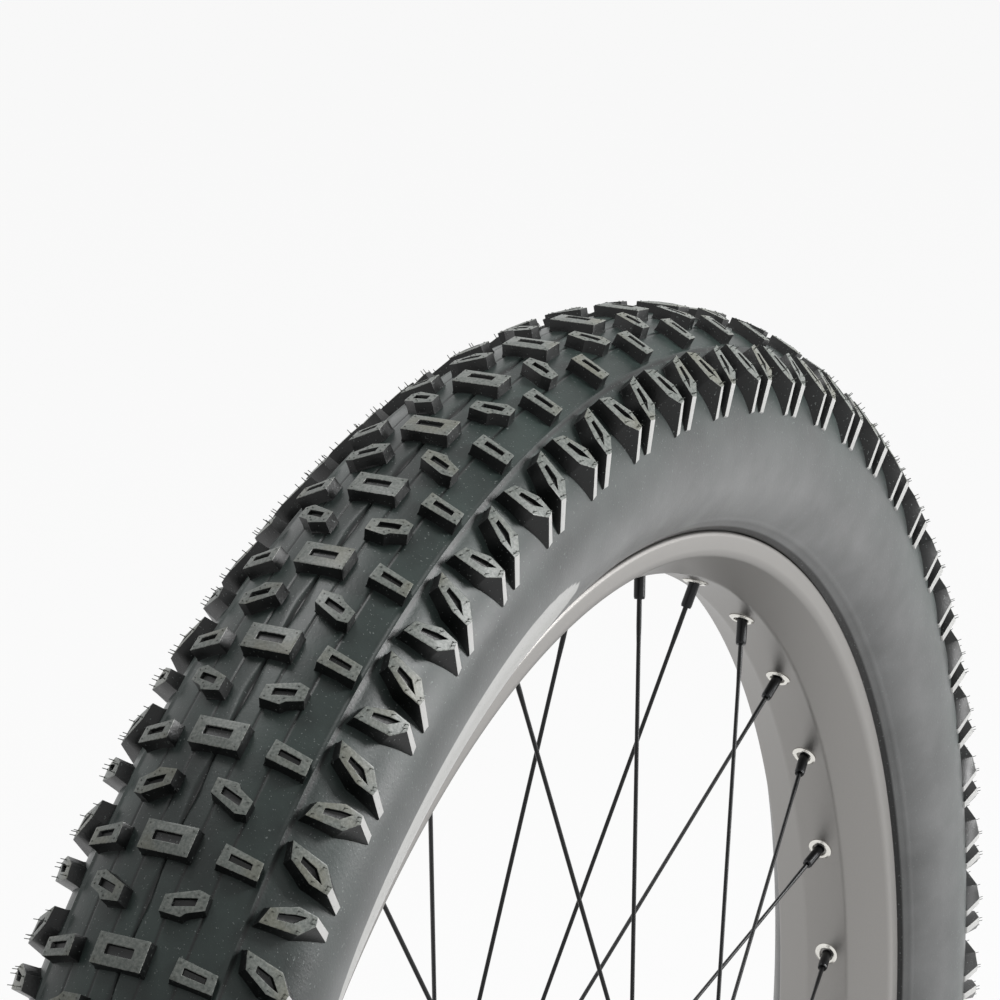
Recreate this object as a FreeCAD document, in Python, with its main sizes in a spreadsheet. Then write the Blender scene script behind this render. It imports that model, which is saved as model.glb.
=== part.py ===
import FreeCAD, Part
import math
import operator
import os

import Sketcher
from FreeCAD import Placement, Rotation, Vector

# A spoked wheel for a wide knobbly tyre, on a through axle.
# Frame: millimetres, origin at the wheel's centre, +Y along the spin axis, +Z up.
# The -Y side is the plain side and the +Y side carries the brake rotor mount.
# Angles are turned about +Y, from +Z towards +X.

doc = FreeCAD.newDocument("spoked_wheel")

# ---------------------------------------------------------------- driving sizes

DRIVING_SIZES = {
    # tyre casing, measured from the bead seat to its surface between the tread blocks
    "casing_height": 77.8,
    "crown_bend": 45.0,
    "crown_wall": 3.6,
    "ridge_half_width": 26.0,
    "ridge_wall": 3.3,
    "side_bulge": 15.3,
    "side_bulge_step": 0.4,
    "bead_toe_width": 4.6,
    "bead_height": 6.8,
    # tread blocks: their tops lie on one arc across the tyre
    "tread_height": 4.0,
    "tread_bend": 50.0,
    "tread_pitch": 34.4,
    "tread_phase": -39.87,
    "tread_sink": 1.6,
    "tread_draft": 0.45,
    "tail_lean": 13.5,
    # rim
    "bead_seat_radius": 279.5,
    "flange_height": 5.9,
    "rim_half_width": 25.2,
    "flange_lip": 3.2,
    "seat_width": 5.5,
    "rim_well_depth": 2.8,
    "rim_height": 11.3,
    "rim_wall": 1.8,
    "rim_side_drop": 2.9,
    "bed_half_width": 9.0,
    "tape_thickness": 0.7,
    "tube_wall": 1.0,
    # spokes, nipples and eyelets
    "spoke_count": 32,
    "spoke_phase": 16.25,
    "spoke_crossings": 2,
    "spoke_radius": 0.9,
    "spoke_middle_radius": 0.75,
    "spoke_thick_end": 22.0,
    "spoke_taper": 6.0,
    "spoke_bend": 2.4,
    "spoke_head_step": 1.0,
    "spoke_head_height": 1.2,
    "nipple_radius": 2.0,
    "nipple_length": 11.0,
    "nipple_head_step": 1.0,
    "nipple_head_height": 2.0,
    "nipple_tilt_gap": 0.8,
    "eyelet_wall": 0.8,
    "eyelet_brim": 1.2,
    "eyelet_dome": 0.8,
    "access_gap": 2.2,
    # valve, along its own axis
    "valve_radius": 3.85,
    "valve_hole_gap": 0.4,
    "valve_length": 44.0,
    "valve_foot_radius": 7.0,
    "valve_foot_height": 1.2,
    "core_gap": 0.1,
    "core_length": 19.0,
    "core_radius": 2.3,
    "pin_radius": 0.6,
    "pin_travel": 1.5,
    "cap_wall": 1.1,
    "cap_depth": 10.0,
    "rim_nut_wall": 2.6,
    "rim_nut_height": 4.0,
    # hub shell
    "flange_offset": 43.0,
    "flange_thickness": 3.4,
    "flange_circle": 29.0,
    "flange_edge": 4.6,
    "spoke_hole_gap": 0.35,
    "hub_barrel_step": 1.5,
    "hub_wall": 3.4,
    "rotor_face_inset": 15.3,
    "rotor_boss_edge": 2.1,
    "rotor_boss_depth": 7.7,
    "rotor_spigot_wall": 1.93,
    "rotor_spigot_height": 2.7,
    "rotor_bolt_circle": 22.0,
    "rotor_bolt_radius": 2.1,
    "rotor_bolt_count": 6,
    "rotor_bolt_depth": 9.0,
    # bearings (17 x 30 x 7)
    "bearing_bore": 8.5,
    "bearing_outside": 15.0,
    "bearing_width": 7.0,
    "ball_radius": 1.75,
    "ball_count": 11,
    "groove_gap": 0.07,
    "race_shoulder": 1.15,
    "seal_thickness": 0.8,
    "bearing_shoulder": 1.8,
    # axle and end caps
    "over_locknut": 150.0,
    "axle_bore": 7.55,
    "axle_shoulder": 1.4,
    "cap_end_wall": 2.0,
    "cap_end_length": 3.0,
    "cap_skirt_length": 3.2,
    "o_ring_radius": 0.55,
    # clearances between pieces
    "rubber_gap": 0.35,
    "fit_gap": 0.05,
    "press_gap": 0.02,
    "turning_gap": 0.4,
    "seal_gap": 0.2,
}

sheet = doc.addObject("Spreadsheet::Sheet", "Sizes")
for row, (alias, number) in enumerate(DRIVING_SIZES.items(), start=1):
    sheet.set(f"A{row}", str(number))
    sheet.setAlias(f"A{row}", alias)
doc.recompute()


class Size:
    """A number worked out from the sheet, with the expression that keeps it bound to the sheet."""

    def __init__(self, text, value):
        self.text = text
        self.value = float(value)

    def __add__(self, other):
        return combined(operator.add, "+", self, other)

    def __radd__(self, other):
        return combined(operator.add, "+", other, self)

    def __sub__(self, other):
        return combined(operator.sub, "-", self, other)

    def __rsub__(self, other):
        return combined(operator.sub, "-", other, self)

    def __mul__(self, other):
        return combined(operator.mul, "*", self, other)

    def __rmul__(self, other):
        return combined(operator.mul, "*", other, self)

    def __truediv__(self, other):
        return combined(operator.truediv, "/", self, other)

    def __rtruediv__(self, other):
        return combined(operator.truediv, "/", other, self)

    def __neg__(self):
        return 0 - self


def as_size(number):
    return number if isinstance(number, Size) else Size(str(number), number)


def combined(operation, sign, left, right):
    left, right = as_size(left), as_size(right)
    return Size(f"({left.text} {sign} {right.text})", operation(left.value, right.value))


def root(length):
    return Size(f"sqrt({length.text})", math.sqrt(length.value))


def size(alias):
    return Size(f"Sizes.{alias}", sheet.get(alias))


def bind(thing, **properties):
    """Set properties of a document object from sizes; __ in a name stands for a dot."""
    for name, number in properties.items():
        thing.setExpression(name.replace("__", "."), as_size(number).text)


# ---------------------------------------------------------------- ways of making a piece

def origin_part(body, role):
    return next(part for part in body.Origin.OriginFeatures if part.Role == role)


def new_sketch(body, name, plane):
    sketch = body.newObject("Sketcher::SketchObject", name)
    sketch.AttachmentSupport = [(origin_part(body, plane), "")]
    sketch.MapMode = "FlatFace"
    return sketch


def arc_edge(start, end, bend):
    """The shorter arc between two points; a positive bend turns clockwise. Returns it with its ends."""
    (x0, y0), (x1, y1) = start, end
    chord = math.hypot(x1 - x0, y1 - y0)
    rise = math.sqrt(bend ** 2 - (chord / 2) ** 2) * (1 if bend > 0 else -1)
    centre = Vector((x0 + x1) / 2 + rise * (y1 - y0) / chord, (y0 + y1) / 2 - rise * (x1 - x0) / chord, 0)
    angles = [math.atan2(y - centre.y, x - centre.x) for x, y in (start, end)]
    circle = Part.Circle(centre, Vector(0, 0, 1), abs(bend))
    if bend > 0:
        return Part.ArcOfCircle(circle, angles[1], angles[0]), (2, 1)
    return Part.ArcOfCircle(circle, angles[0], angles[1]), (1, 2)


def draw_loop(sketch, corners):
    """Draw a closed outline whose corners are pinned to the origin by sizes.

    A corner is (x, y), or (x, y, bend) when an arc of that radius runs on to the next corner.
    """
    points = [tuple(as_size(number) for number in corner) for corner in corners]
    plain = [(point[0].value, point[1].value) for point in points]
    edges = []
    for number, point in enumerate(points):
        start, end = plain[number], plain[(number + 1) % len(plain)]
        if len(point) == 3:
            curve, ends = arc_edge(start, end, point[2].value)
        else:
            curve, ends = Part.LineSegment(Vector(*start, 0), Vector(*end, 0)), (1, 2)
        edges.append((sketch.addGeometry(curve), ends))
    for number, point in enumerate(points):
        edge, (first, last) = edges[number]
        next_edge, (next_first, _) = edges[(number + 1) % len(edges)]
        sketch.addConstraint(Sketcher.Constraint("Coincident", edge, last, next_edge, next_first))
        for kind, distance in (("DistanceX", point[0]), ("DistanceY", point[1])):
            pin = sketch.addConstraint(Sketcher.Constraint(kind, -1, 1, edge, first, distance.value))
            sketch.setExpression(f"Constraints[{pin}]", distance.text)
        if len(point) == 3:
            bend = point[2] if point[2].value > 0 else -point[2]
            pin = sketch.addConstraint(Sketcher.Constraint("Radius", edge, bend.value))
            sketch.setExpression(f"Constraints[{pin}]", bend.text)


def mirrored(half):
    """Close a half section, which starts and ends on the mid-plane, with its mirror image."""
    inner = range(len(half) - 2, 0, -1)
    corners = [tuple(corner[:2]) for corner in half]
    bends = [corner[2:] for corner in half]
    closed = [corner + tuple(bend) for corner, bend in zip(corners[:-1], bends[:-1])]
    closed.append(corners[-1] + tuple(bends[-2]))
    for number in inner:
        across, along = corners[number]
        closed.append((-across, along) + tuple(bends[number - 1]))
    return closed


def turned(label, outline, axis="Y", hollow=None):
    """A body turned about the wheel's axis from (along the axis, radius) corners, or about +Z."""
    body = doc.addObject("PartDesign::Body", label)
    body.Label = label
    plane, line = {"Y": ("YZ_Plane", "H_Axis"), "Z": ("XZ_Plane", "V_Axis")}[axis]
    for kind, loop in (("Revolution", outline), ("Groove", hollow)):
        if loop is None:
            continue
        section = new_sketch(body, f"{label}_{kind}_section", plane)
        draw_loop(section, loop if axis == "Y" else [(radius, along) for along, radius in loop])
        turn = body.newObject(f"PartDesign::{kind}", f"{label}_{kind}")
        turn.Profile = section
        turn.ReferenceAxis = (section, [line])
        turn.Angle = 360
        body.Tip = turn
    return body


def repeat(body, item, count, name):
    """Repeat a item round the wheel's axis."""
    pattern = body.newObject("PartDesign::PolarPattern", name)
    pattern.Originals = [item]
    pattern.Axis = (origin_part(body, "Y_Axis"), [""])
    pattern.Angle = 360
    bind(pattern, Occurrences=count)
    body.Tip = pattern
    return pattern


def drill(body, name, plane, hole_radius, depth, start=0, from_axis=0, turn=0, about=Vector(0, 0, 1)):
    """Cut one round hole outwards, from a height along the plane's normal; the sketch can be turned."""
    sketch = new_sketch(body, f"{name}_sketch", plane)
    sketch.AttachmentOffset = Placement(Vector(), Rotation(about, 1))
    bind(sketch, AttachmentOffset__Base__z=start, AttachmentOffset__Rotation__Angle=turn)
    from_axis = as_size(from_axis)
    circle = Part.Circle(Vector(0, from_axis.value, 0), Vector(0, 0, 1), hole_radius.value)
    hole = sketch.addGeometry(circle)
    pins = [
        (Sketcher.Constraint("DistanceX", -1, 1, hole, 3, 0.0), as_size(0)),
        (Sketcher.Constraint("DistanceY", -1, 1, hole, 3, from_axis.value), from_axis),
        (Sketcher.Constraint("Radius", hole, hole_radius.value), hole_radius),
    ]
    for constraint, distance in pins:
        sketch.setExpression(f"Constraints[{sketch.addConstraint(constraint)}]", distance.text)
    pocket = body.newObject("PartDesign::Pocket", name)
    pocket.Profile = sketch
    pocket.Reversed = True
    bind(pocket, Length=depth)
    body.Tip = pocket
    return pocket


def turn_about_axle(thing, angle):
    """Stand a piece at an angle round the wheel."""
    thing.Placement = Placement(Vector(), Rotation(Vector(0, 1, 0), 1))
    bind(thing, Placement__Rotation__Angle=angle)


def feature(label, shape):
    """A piece whose shape is worked out below from the sheet's sizes."""
    piece = doc.addObject("Part::Feature", label)
    piece.Label = label
    piece.Shape = shape
    return piece


def round_the_wheel(shape, count, phase):
    """Copies of a shape that was made at the top of the wheel."""
    copies = []
    for number in range(count):
        copy = shape.copy()
        copy.rotate(Vector(), Vector(0, 1, 0), phase + number * 360 / count)
        copies.append(copy)
    return copies


def turned_solid(corners):
    """A solid turned about +Z from (radius, height) corners."""
    outline = [Vector(across, 0, up) for across, up in corners]
    return Part.Face(Part.makePolygon(outline + outline[:1])).revolve(Vector(), Vector(0, 0, 1), 360)


def at_angle(radius, degrees, across=0):
    turn = math.radians(degrees)
    return Vector(radius * math.sin(turn), across, radius * math.cos(turn))


# ---------------------------------------------------------------- rim, tape, tube and tyre

seat_radius = size("bead_seat_radius")
rim_half_width = size("rim_half_width")
hook = rim_half_width - size("flange_lip")
flange_radius = seat_radius + size("flange_height")
well_radius = seat_radius - size("rim_well_depth")
bed_radius = seat_radius - size("rim_height")
rim_wall = size("rim_wall")
bed_half_width = size("bed_half_width")
seat_inside = hook - size("seat_width")
well_half_width = seat_inside - size("rim_well_depth")
side_radius = seat_radius - size("rim_side_drop")
spoke_count = size("spoke_count")
spoke_phase = size("spoke_phase")
valve_turn = 180 + 180 / spoke_count
rubber_gap = size("rubber_gap")
fit_gap = size("fit_gap")
press_gap = size("press_gap")
spoke_radius = size("spoke_radius")
nipple_radius = size("nipple_radius")
nipple_head = nipple_radius + size("nipple_head_step")
eyelet_bore = nipple_radius + size("nipple_tilt_gap")
eyelet_barrel = eyelet_bore + size("eyelet_wall")
valve_radius = size("valve_radius")
valve_hole = valve_radius + size("valve_hole_gap")


def make_rim():
    """A double-walled extrusion rolled into a hoop, drilled for its eyelets, nipples and valve."""
    outside = mirrored([
        (0, bed_radius),
        (bed_half_width, bed_radius),
        (rim_half_width - 1.1, side_radius),
        (rim_half_width - 0.3, side_radius + 1.9),
        (rim_half_width, flange_radius - 1.0),
        (rim_half_width - 0.9, flange_radius),
        (hook + 0.7, flange_radius),
        (hook, flange_radius - 0.7),
        (hook, seat_radius),
        (seat_inside, seat_radius - 0.2),
        (well_half_width, well_radius),
        (0, well_radius),
    ])
    hollow = mirrored([
        (0, bed_radius + rim_wall),
        (bed_half_width - 0.6, bed_radius + rim_wall),
        (hook - 1.6, seat_radius - rim_wall - 0.6),
        (hook - 1.6, seat_radius - rim_wall),
        (seat_inside + 0.4, seat_radius - rim_wall - 0.2),
        (well_half_width + 0.6, well_radius - rim_wall),
        (0, well_radius - rim_wall),
    ])
    rim = turned("rim", outside, hollow=hollow)
    hole = drill(rim, "rim_eyelet_hole", "XY_Plane", eyelet_barrel + fit_gap,
                 depth=rim_wall + 2, start=bed_radius - 1)
    repeat(rim, hole, spoke_count, "rim_eyelet_holes")
    hole = drill(rim, "rim_access_hole", "XY_Plane", nipple_head + size("access_gap"),
                 depth=rim_wall + 2, start=well_radius - rim_wall - 1)
    repeat(rim, hole, spoke_count, "rim_access_holes")
    drill(rim, "rim_valve_hole", "XY_Plane", valve_hole,
          depth=well_radius + 1, turn=valve_turn, about=Vector(0, 1, 0))
    turn_about_axle(rim, spoke_phase)
    return rim


tape_inside = well_radius + fit_gap
tape_outside = tape_inside + size("tape_thickness")
tape_half_width = well_half_width - 0.4


def make_rim_tape():
    """The strip that covers the nipple holes in the rim's well."""
    tape = turned("rim_tape", mirrored([
        (0, tape_inside),
        (tape_half_width, tape_inside),
        (tape_half_width, tape_outside),
        (0, tape_outside),
    ]))
    drill(tape, "rim_tape_valve_hole", "XY_Plane", valve_hole,
          depth=tape_outside + 1, turn=valve_turn, about=Vector(0, 1, 0))
    turn_about_axle(tape, spoke_phase)
    return tape


crown_radius = seat_radius + size("casing_height")
crown_bend = size("crown_bend")
ridge_half_width = size("ridge_half_width")
ridge_radius = crown_radius - crown_bend + root(crown_bend * crown_bend - ridge_half_width * ridge_half_width)
inner_crown = crown_radius - size("crown_wall")
inner_ridge_radius = ridge_radius - size("ridge_wall")
inner_ridge_width = ridge_half_width - 1.0
bead_side = hook - 0.3
bead_base = seat_radius + rubber_gap
bead_toe = bead_side - size("bead_toe_width")
bead_top = seat_radius + size("bead_height")
side_start = (rim_half_width - 1.0, flange_radius + rubber_gap)
inner_start = (bead_side - 0.2, bead_top + 1.2)
side_bulge = size("side_bulge")
inner_bulge = side_bulge - size("side_bulge_step")


def bulged(start, end, bulge):
    """The radius of the arc between two points that swells out by a height."""
    across, up = end[0] - start[0], end[1] - start[1]
    return ((across * across + up * up) / 4 + bulge * bulge) / (2 * bulge)


def casing_section():
    """The tyre without its tread: a bulb on two beads that hook into the rim."""
    ridge = (ridge_half_width, ridge_radius)
    inner_ridge = (inner_ridge_width, inner_ridge_radius)
    return mirrored([
        (0, crown_radius, crown_bend),
        (*ridge, bulged(ridge, side_start, side_bulge)),
        side_start,
        (bead_side, flange_radius + rubber_gap),
        (bead_side, bead_base),
        (bead_toe, bead_base - 0.1),
        (bead_toe, bead_base + 2.2),
        (*inner_start, -bulged(inner_start, inner_ridge, inner_bulge)),
        (*inner_ridge, -crown_bend),
        (0, inner_crown),
    ])


# Tread blocks, each as corners (across the tyre from its middle, round the tyre) on the tread's arc.
CENTRE_BLOCK = [(-8.0, -4.4), (8.0, -4.4), (8.0, 4.7), (-8.0, 4.7)]
INNER_BLOCK = [(6.5, -1.3), (15.2, -5.2), (18.3, -4.6), (18.6, -0.1), (14.0, 2.2), (12.8, 3.7), (6.5, 3.6)]
OUTER_BLOCK = [(16.2, -3.5), (28.5, -4.0), (28.3, 1.7), (16.7, 3.0)]
SHOULDER_BLOCK = [(34.5, 6.3), (42.0, 2.3), (48.0, 2.2), (48.5, 5.0), (44.5, 10.0), (33.0, 11.6)]
SHOULDER_END = (2, 3)
SHOULDER_MIRROR_LINE = -1.4
# Two pitches start between blocks here, half a pitch and this much round the tyre from a centre block.
SECTOR_LEAD = 4.65

tread_bend = size("tread_bend")
tread_radius = crown_radius + size("tread_height")
tread_pitches = 2 * round(math.pi * tread_radius.value / size("tread_pitch").value)
pitch_angle = 360 / tread_pitches
block_angle = 360 / (math.tau * tread_radius.value)
casing_centre = crown_radius - crown_bend
tread_centre = tread_radius - tread_bend


def flipped(outline, line=0.0):
    """An outline turned end for end round the tyre, about a line across it."""
    return [(across, 2 * line - along) for across, along in reversed(outline)]


def filled(top, foot):
    """The solid between two matching flat polygons."""
    loops = [Part.makePolygon(loop + loop[:1]) for loop in (foot, top)]
    return Part.makeLoft(loops, True, True)


def tread_block(outline, tail=None):
    """A block with a flat top and drafted walls, sunk into the casing; a tail runs down the sidewall."""
    middle = [sum(corner[way] for corner in outline) / len(outline) for way in (0, 1)]
    lean = middle[0] / tread_bend.value
    outwards = Vector(0, -math.sin(lean), math.cos(lean))
    sideways = Vector(0, -math.cos(lean), -math.sin(lean))
    turn = Rotation(Vector(0, 1, 0), middle[1] * block_angle)
    at = Vector(0, 0, tread_centre.value) + outwards * tread_bend.value
    casing = math.hypot(at.y, at.z - casing_centre.value) - crown_bend.value
    if abs(at.y) > ridge_half_width.value:
        casing = math.hypot(at.y, at.z - side_centre) - side_round
    sink = outwards * (casing + size("tread_sink").value)
    top, foot = [], []
    for across, along in outline:
        step = (across - middle[0], along - middle[1])
        grow = 1 + size("tread_draft").value / math.hypot(*step)
        top.append(at + sideways * step[0] + Vector(step[1], 0, 0))
        foot.append(at + sideways * step[0] * grow + Vector(step[1] * grow, 0, 0) - sink)
    block = filled(top, foot)
    if tail:
        block = block.fuse(tail_piece([top[number] for number in tail], at - sink))
    block.Placement = Placement(Vector(), turn)
    return block


def tail_piece(end, inside):
    """The outer end of a shoulder block: a narrow facet that runs down the sidewall."""
    middle = (end[0] + end[1]) * 0.5
    fall = Vector(0, -side_point[0] - middle.y, side_point[1] - middle.z)
    base = [end[0], end[1], end[1] + fall, end[0] + fall]
    faces = [Part.Face(Part.makePolygon(base + base[:1]))]
    for number in range(4):
        corners = [base[number], inside, base[(number + 1) % 4]]
        faces.append(Part.Face(Part.makePolygon(corners + corners[:1])))
    return Part.Solid(Part.Shell(faces))


def arc_middle(start, end, bend):
    """The centre's height and the radius of the sidewall's arc, which is centred near the mid-plane."""
    (x0, y0), (x1, y1) = [(across.value, up.value) for across, up in (start, end)]
    chord = math.hypot(x1 - x0, y1 - y0)
    rise = math.sqrt(bend ** 2 - (chord / 2) ** 2)
    return (x0 + x1) / 2 + rise * (y1 - y0) / chord, (y0 + y1) / 2 - rise * (x1 - x0) / chord


side_round = bulged((ridge_half_width, ridge_radius), side_start, side_bulge).value
side_middle, side_centre = arc_middle((ridge_half_width, ridge_radius), side_start, side_round)
side_lean = math.radians(size("tail_lean").value)
side_point = (side_middle + (side_round - size("tread_sink").value * 0.7) * math.cos(side_lean),
              side_centre + (side_round - size("tread_sink").value * 0.7) * math.sin(side_lean))


def sector_blocks():
    """Every block in two pitches of the tread, on both sides."""
    middle = [tread_block(CENTRE_BLOCK)]
    near = []
    for outline, tail in ((OUTER_BLOCK, None), (SHOULDER_BLOCK, SHOULDER_END),
                          (flipped(SHOULDER_BLOCK, SHOULDER_MIRROR_LINE), SHOULDER_END)):
        near.append(tread_block(outline, tail))
    blocks = []
    for pitch in (0, 1):
        blocks += turned_copies(middle + near + across_wheel(near), pitch)
    for outline, pitch in ((INNER_BLOCK, 0.5), (flipped(INNER_BLOCK), -0.5)):
        block = [tread_block(outline)]
        blocks += turned_copies(block + across_wheel(block), pitch)
    return blocks


def across_wheel(shapes):
    return [shape.mirror(Vector(), Vector(0, 1, 0)) for shape in shapes]


def turned_copies(shapes, pitch):
    copies = [shape.copy() for shape in shapes]
    for copy in copies:
        copy.rotate(Vector(), Vector(0, 1, 0), pitch * pitch_angle)
    return copies


def casing_wire():
    """The casing's section as a closed wire above the axle."""
    corners = [tuple(as_size(number).value for number in corner) for corner in casing_section()]
    edges = []
    for number, corner in enumerate(corners):
        start, end = corner[:2], corners[(number + 1) % len(corners)][:2]
        if len(corner) == 3:
            edge = arc_edge(start, end, corner[2])[0].toShape()
        else:
            edge = Part.LineSegment(Vector(*start, 0), Vector(*end, 0)).toShape()
        edges.append(edge)
    wire = Part.Wire(Part.__sortEdges__(edges))
    wire.Placement = Placement(Vector(), Rotation(Vector(0, 1, 0), Vector(0, 0, 1), Vector(1, 0, 0), "XYZ"))
    return wire


def make_tyre():
    """The moulded tyre: two pitches of casing with their blocks, repeated round the wheel and joined."""
    sector_angle = 2 * pitch_angle
    start = -SECTOR_LEAD * block_angle - pitch_angle / 2
    sector = Part.Face(casing_wire()).revolve(Vector(), Vector(0, 1, 0), sector_angle)
    sector.rotate(Vector(), Vector(0, 1, 0), start)
    sector = sector.fuse(sector_blocks())
    ends = [at_angle(1, angle + 90) for angle in (start, start + sector_angle)]
    skin = [face for face in sector.Faces
            if not any(all(abs(corner.Point.dot(end)) < 1e-5 for corner in face.Vertexes) for end in ends)]
    faces = []
    for number in range(tread_pitches // 2):
        for face in skin:
            copy = face.copy()
            copy.rotate(Vector(), Vector(0, 1, 0), size("tread_phase").value + number * sector_angle)
            faces.append(copy)
    return feature("tyre", Part.Solid(Part.Shell(faces)))


def tube_section(inset, base):
    """The tyre's inside, drawn in by an inset, closed across the rim tape at a base radius."""
    shoulder_point = (inner_ridge_width - inset * 0.7, inner_ridge_radius - inset * 0.7)
    side_foot = (inner_start[0] - inset, inner_start[1])
    return mirrored([
        (0, inner_crown - inset, crown_bend - inset),
        (*shoulder_point, bulged(shoulder_point, side_foot, inner_bulge - inset * 0.15)),
        side_foot,
        (bead_toe - inset, bead_base + 2.4),
        (tape_half_width - inset, base),
        (0, base),
    ])


def make_inner_tube():
    """A thin closed tube that fills the tyre, pierced once for the valve."""
    base = tape_outside + rubber_gap
    wall = size("tube_wall")
    tube = turned("inner_tube", tube_section(rubber_gap, base),
                  hollow=tube_section(rubber_gap + wall, base + wall))
    drill(tube, "inner_tube_valve_hole", "XY_Plane", valve_radius + fit_gap,
          depth=base + wall + 1, turn=valve_turn, about=Vector(0, 1, 0))
    turn_about_axle(tube, spoke_phase)
    return tube


# ---------------------------------------------------------------- spokes, nipples and eyelets

flange_offset = size("flange_offset")
flange_thickness = size("flange_thickness")
flange_circle = size("flange_circle")


def spoke_run(number):
    """Where one spoke starts, how its elbow lies and where its nipple sits.

    Even spokes go to the plain flange and odd ones to the rotor flange. On each flange every other
    spoke leads and leaves from the flange's outer face, and the rest trail from its inner face.
    """
    count = int(spoke_count.value)
    angle = spoke_phase.value + number * 360 / count
    side = -1 if number % 2 == 0 else 1
    lead = -1 if number % 4 in (0, 3) else 1
    crossing = lead * size("spoke_crossings").value * 720 / count
    face = lead * side * flange_thickness.value / 2
    hole = at_angle(flange_circle.value, angle + crossing, side * flange_offset.value)
    start = hole + Vector(0, face, 0)
    outwards = Vector(0, math.copysign(1, face), 0)
    seat = at_angle(bed_radius.value + rim_wall.value / 2, angle)
    sideways = seat - start
    rise = sideways.dot(outwards)
    sideways = (sideways - outwards * rise).normalize()
    reach = (seat - start).dot(sideways)
    bend = size("spoke_bend").value
    turn = math.atan2(reach - bend, rise) + math.asin(bend / math.hypot(rise, reach - bend))
    return start, outwards, sideways, bend, turn, seat


def make_spoke(number):
    """A butted wire: a button head and an elbow at the flange, thin in the middle, thick in its nipple."""
    start, outwards, sideways, bend, turn, seat = spoke_run(number)
    radius = spoke_radius.value
    neck = start - outwards * (flange_thickness.value + 0.1)

    def along(angle):
        return start + outwards * (bend * math.sin(angle)) + sideways * (bend * (1 - math.cos(angle)))

    elbow_end = along(turn)
    direction = outwards * math.cos(turn) + sideways * math.sin(turn)
    path = Part.Wire([
        Part.LineSegment(neck, start).toShape(),
        Part.Arc(start, along(turn / 2), elbow_end).toShape(),
    ])
    ring = Part.Wire(Part.Circle(neck, outwards, radius).toShape())
    elbow = path.makePipeShell([ring], True, True)
    head_height = size("spoke_head_height").value
    head = Part.makeCone(radius + size("spoke_head_step").value, radius, head_height,
                         neck - outwards * head_height * 0.9, outwards)
    middle = size("spoke_middle_radius").value
    thick, taper = size("spoke_thick_end").value, size("spoke_taper").value
    length = (seat - elbow_end).Length + 1.5
    straight = turned_solid([
        (0, 0), (radius, 0), (radius, thick), (middle, thick + taper),
        (middle, length - thick - taper), (radius, length - thick), (radius, length), (0, length),
    ])
    straight.Placement = Placement(elbow_end, Rotation(Vector(0, 0, 1), direction))
    return elbow.fuse([head, straight]).removeSplitter()


def make_spoke_group(label, rest):
    """Every fourth spoke: the ones on one flange that lean the same way."""
    return feature(label, Part.makeCompound([make_spoke(number)
                                             for number in range(rest, int(spoke_count.value), 4)]))


def make_nipples():
    """One nipple on each spoke, tilted with it, its head seated in the eyelet."""
    body = nipple_radius.value
    head = nipple_head.value
    seat_height = rim_wall.value / 2 + 0.8
    bore = spoke_radius.value + fit_gap.value
    length = size("nipple_length").value
    head_height = size("nipple_head_height").value
    corners = [
        (bore, -length), (body - 0.25, -length), (body, 0.8 - length), (body, seat_height),
        (head, seat_height + 1.0), (head, seat_height + head_height - 0.3),
        (head - 0.5, seat_height + head_height), (bore, seat_height + head_height),
    ]
    nipple = turned_solid(corners)
    copies = []
    for number in range(int(spoke_count.value)):
        start, outwards, sideways, bend, turn, seat = spoke_run(number)
        direction = outwards * math.cos(turn) + sideways * math.sin(turn)
        copy = nipple.copy()
        copy.Placement = Placement(seat, Rotation(Vector(0, 0, 1), direction))
        copies.append(copy)
    return feature("nipples", Part.makeCompound(copies))


def make_eyelets():
    """A domed, pressed ferrule in each spoke hole of the rim's bed."""
    bed = bed_radius.value
    bore = eyelet_bore.value
    barrel = eyelet_barrel.value
    flange = barrel + size("eyelet_brim").value
    dome = size("eyelet_dome").value
    under = bed - 0.1
    corners = [
        (bore, under - dome + 0.2), (bore + 0.35, under - dome), (barrel + 0.3, under - dome),
        (flange - 0.3, under - 0.5 * dome), (flange, under - 0.2), (flange, under), (barrel, under),
        (barrel, bed + rim_wall.value + 0.3), (bore, bed + rim_wall.value + 0.3),
    ]
    eyelet = turned_solid(corners)
    return feature("eyelets", Part.makeCompound(round_the_wheel(eyelet, int(spoke_count.value),
                                                                spoke_phase.value)))


# ---------------------------------------------------------------- valve

valve_foot = tape_outside + rubber_gap + size("tube_wall") + 0.1
valve_tip = valve_foot - size("valve_length")
core_radius = size("core_radius")
valve_bore = core_radius + size("core_gap")
nut_radius = valve_radius + fit_gap + size("rim_nut_wall")
core_bottom = valve_tip + 1.2
core_top = core_bottom + size("core_length")
pin_radius = size("pin_radius")
pin_bore = pin_radius + 0.15
cap_bore = valve_radius + 0.1
cap_outside = cap_bore + size("cap_wall")
cap_top = valve_tip + size("cap_depth")
cap_inner_end = valve_tip - size("pin_travel") - 0.6
stood_valve = spoke_phase + valve_turn


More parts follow.
